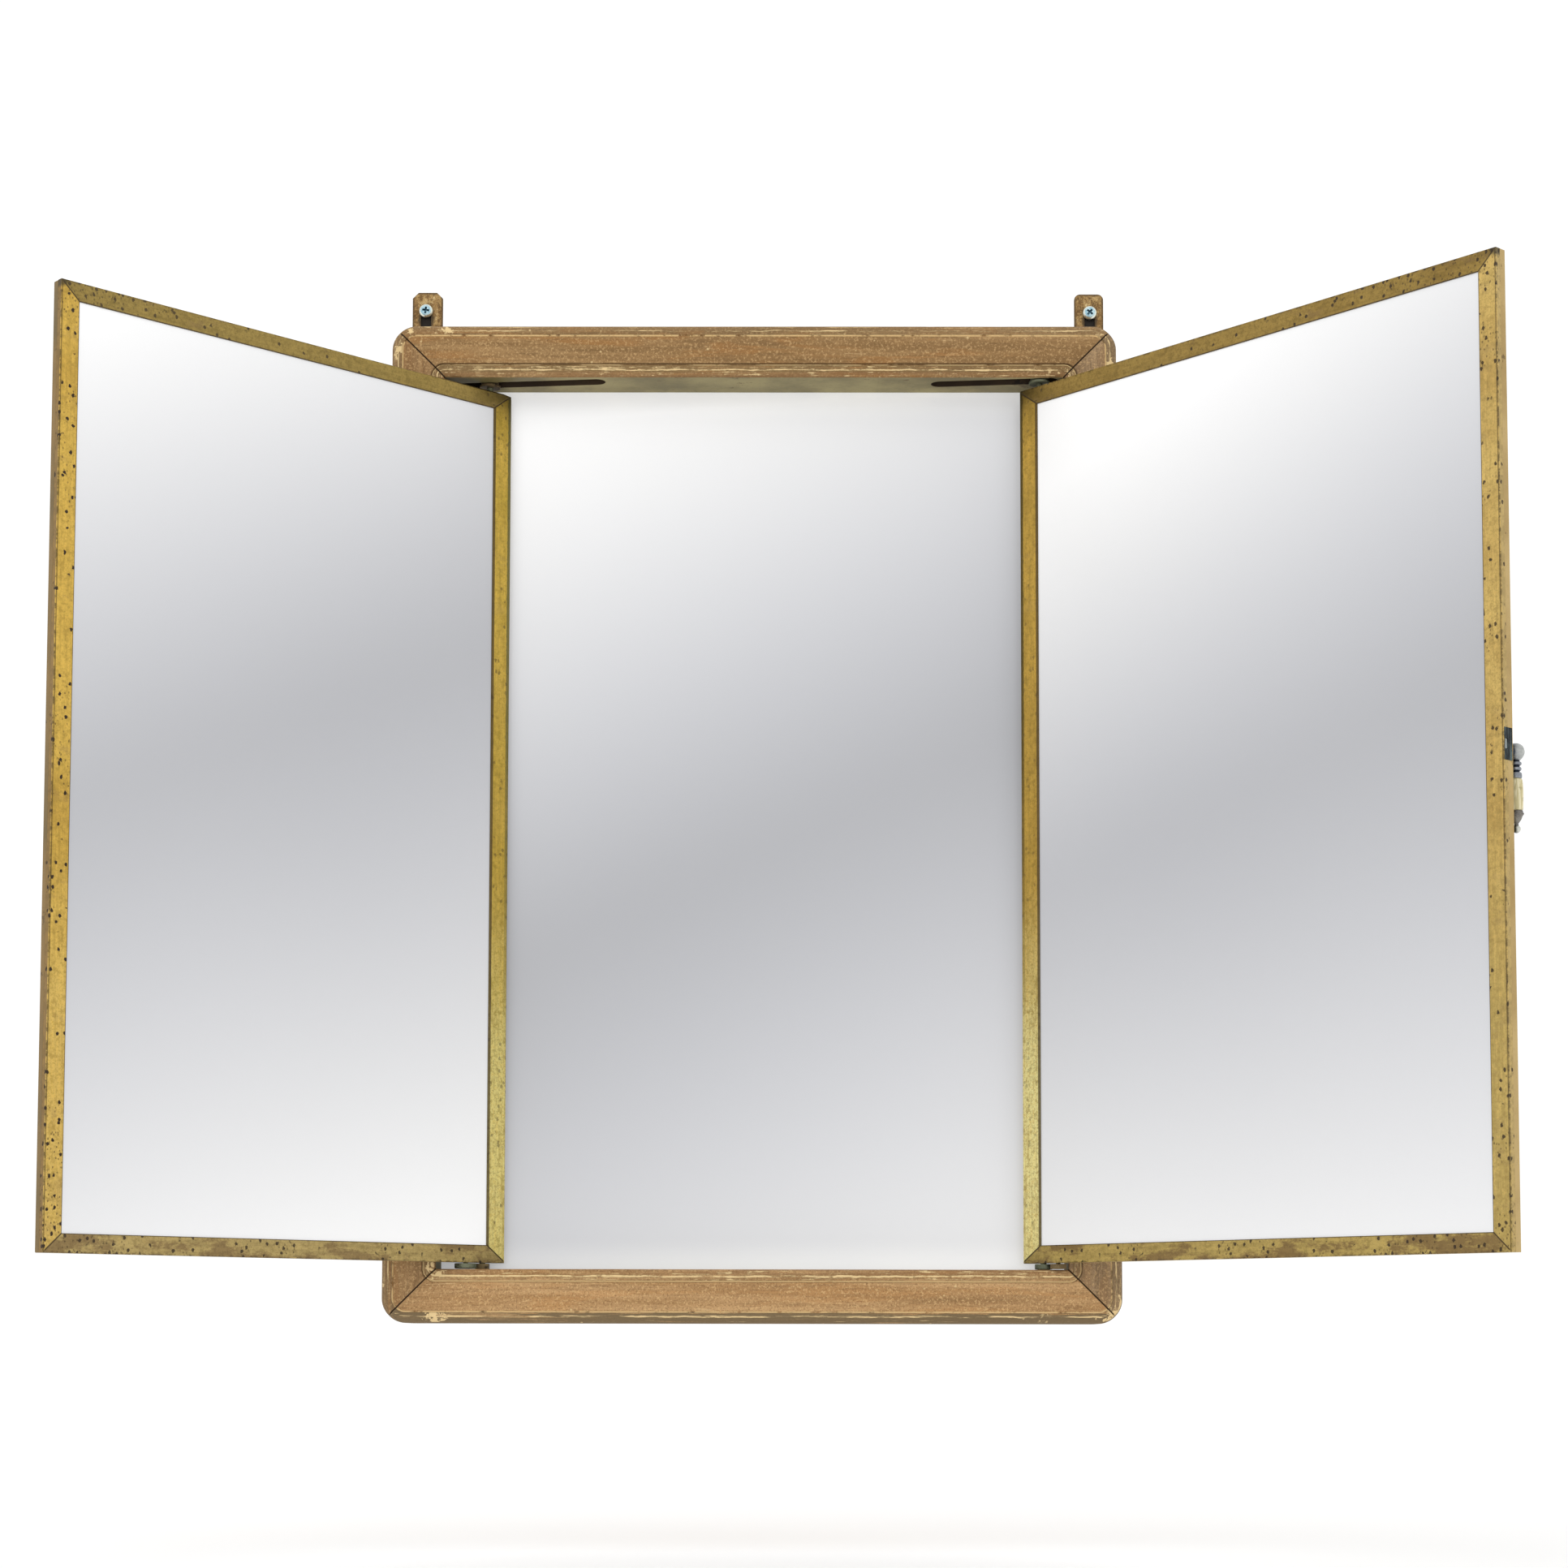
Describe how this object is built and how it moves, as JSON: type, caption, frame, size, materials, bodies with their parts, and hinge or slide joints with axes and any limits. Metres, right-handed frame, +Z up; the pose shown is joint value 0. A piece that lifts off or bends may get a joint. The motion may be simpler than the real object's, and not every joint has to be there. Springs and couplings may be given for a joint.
{
  "type": "wall-hung folding triptych mirror",
  "caption": "Wooden mitred frame round a centre mirror, with hinged brass-edged mirror wings that slide in grooves, fold flat and latch.",
  "frame": {"origin": "centre of the flat back face of the wooden frame", "axes": "+X to the viewer's right, +Y into the wall, +Z up"},
  "size_m": [0.8651, 0.3452, 0.696],
  "materials": {
    "oak": "stripped, dry, with paint remnants",
    "mirror": "silvered glass",
    "card": "matt grey-brown card",
    "plywood": "unfinished",
    "painted_wood": "worn greenish-grey paint",
    "brass": "aged, pitted, brown patina",
    "zinc_screw": "bright zinc plate",
    "zinc_plate": "dull zinc plate",
    "dark_steel": "blue-black, worn",
    "steel": "old grey steel",
    "pewter": "dull cast pewter",
    "horn": "cream turned grip, polished by hand"
  },
  "bodies": {
    "frame": {"back_panel": "plywood", "bottom_rail": "oak", "card_backing": "card", "centre_mirror": "mirror", "left_hanger": "zinc_plate", "left_hanger_screw_lower": "zinc_screw", "left_hanger_screw_upper": "zinc_screw", "left_stile": "oak", "left_wall_screw": "zinc_screw", "panel_screw_1": "zinc_screw", "panel_screw_2": "zinc_screw", "panel_screw_3": "zinc_screw", "panel_screw_4": "zinc_screw", "right_hanger": "zinc_plate", "right_hanger_screw_lower": "zinc_screw", "right_hanger_screw_upper": "zinc_screw", "right_stile": "oak", "right_wall_screw": "zinc_screw", "strike_plate": "dark_steel", "strike_screw_lower": "dark_steel", "strike_screw_upper": "dark_steel", "top_rail": "oak"},
    "left_carriage": {"left_pin_bottom": "steel", "left_pin_top": "steel", "left_shoe_bottom": "brass", "left_shoe_top": "steel"},
    "right_carriage": {"right_pin_bottom": "steel", "right_pin_top": "steel", "right_shoe_bottom": "steel", "right_shoe_top": "steel"},
    "left_wing": {"left_pivot_block_bottom": "steel", "left_pivot_block_top": "steel", "left_rub_pad": "steel", "left_wing_board": "painted_wood", "left_wing_mirror": "mirror", "left_wing_strip_bottom": "brass", "left_wing_strip_free": "brass", "left_wing_strip_hinge": "brass", "left_wing_strip_top": "brass"},
    "right_wing": {"handle_rose": "brass", "latch_case": "dark_steel", "right_pivot_block_bottom": "steel", "right_pivot_block_top": "steel", "right_rub_pad": "brass", "right_wing_board": "painted_wood", "right_wing_mirror": "mirror", "right_wing_strip_bottom": "brass", "right_wing_strip_free": "brass", "right_wing_strip_hinge": "brass", "right_wing_strip_top": "brass"},
    "handle": {"handle_ball": "pewter", "handle_cup": "pewter", "handle_finial": "pewter", "handle_grip": "horn", "handle_neck": "dark_steel", "handle_spindle": "dark_steel"},
    "bolt": {"latch_bolt": "dark_steel"}
  },
  "joints": [
    {"name": "left_slide", "type": "slide", "parent": "frame", "child": "left_carriage", "axis": [0.9949, -0.1006, 0], "range_m": [0, 0.07]},
    {"name": "left_swing", "type": "hinge", "parent": "left_carriage", "child": "left_wing", "pos_m": [-0.1765, -0.0248, 0], "axis": [0, 0, -1], "range_deg": [-136.7, 0.5]},
    {"name": "right_slide", "type": "slide", "parent": "frame", "child": "right_carriage", "axis": [-0.9947, 0.1032, 0], "range_m": [0, 0.066]},
    {"name": "right_swing", "type": "hinge", "parent": "right_carriage", "child": "right_wing", "pos_m": [0.1895, -0.03426, 0], "axis": [0, 0, 1], "range_deg": [-132.5, 1.5]},
    {"name": "handle_turn", "type": "hinge", "parent": "right_wing", "child": "handle", "pos_m": [0.43055, -0.29732, -0.002], "axis": [0.7373, 0.6756, 0], "range_deg": [0, 90]},
    {"name": "bolt_throw", "type": "slide", "parent": "right_wing", "child": "bolt", "axis": [0.6756, -0.7373, 0], "range_m": [0, 0.006]}
  ],
  "couplings": [
    {"joint": "bolt_throw", "follows": "handle_turn", "m_per_rad": 0.0038}
  ]
}
